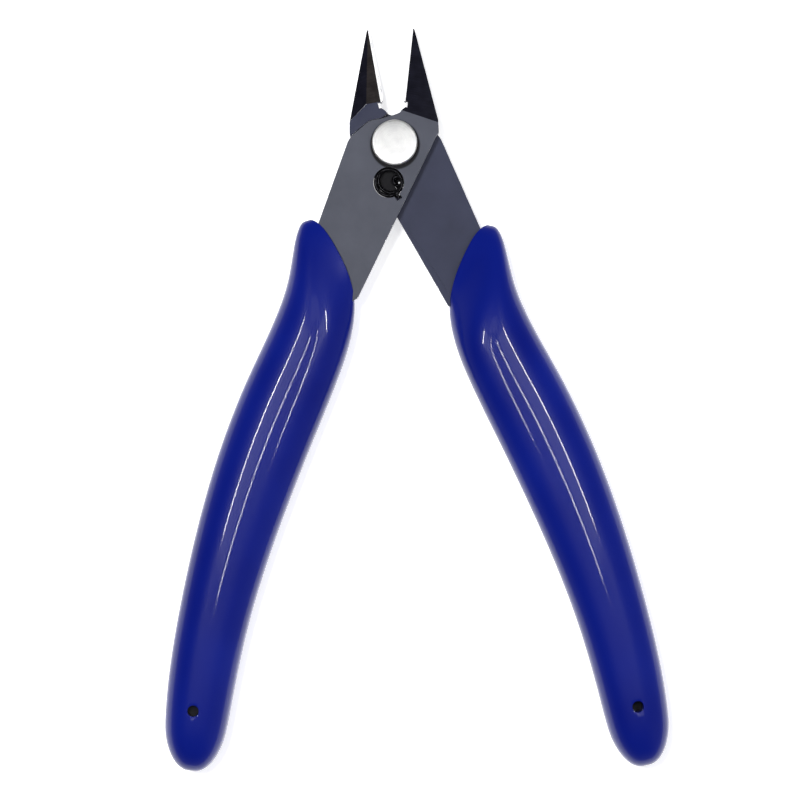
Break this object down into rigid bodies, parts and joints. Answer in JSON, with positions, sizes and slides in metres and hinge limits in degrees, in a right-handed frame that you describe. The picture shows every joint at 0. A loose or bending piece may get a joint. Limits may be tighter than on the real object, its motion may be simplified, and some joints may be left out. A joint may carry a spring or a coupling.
{
  "type": "flush cut pliers",
  "caption": "Light flush cutting pliers with ground jaws, lapped steel levers on a rivet, a return spring and moulded blue grips.",
  "frame": {"origin": "middle of the bottom of the open tool's box, on the surface that the grips lie on; the rivet's axis stands at x -0.295 mm, y 42.759 mm", "axes": "+Y from the handles to the jaws, +X to the right hand grip, +Z along the rivet towards its flat head"},
  "size_m": [0.0836, 0.124, 0.0094],
  "materials": {
    "blasted_steel": "blasted, grey oxide, with near-black ground jaws and bright cutting bevels",
    "bright_steel": "bright turned",
    "black_wire": "black oxide spring wire",
    "blue_vinyl": "glossy moulded soft vinyl"
  },
  "bodies": {
    "front_half": {"front_lever": "blasted_steel", "left_grip": "blue_vinyl", "pivot_rivet": "bright_steel", "return_spring": "black_wire"},
    "rear_half": {"rear_lever": "blasted_steel", "right_grip": "blue_vinyl"}
  },
  "joints": [
    {"name": "jaw_pivot", "type": "hinge", "parent": "front_half", "child": "rear_half", "pos_m": [-0.0003, 0.04276, 0.0047], "axis": [0, 0, 1], "range_deg": [-21, 0], "stiffness_Nm_per_rad": 0.3, "springref_deg": 20.05, "deforming": ["return_spring"]}
  ]
}
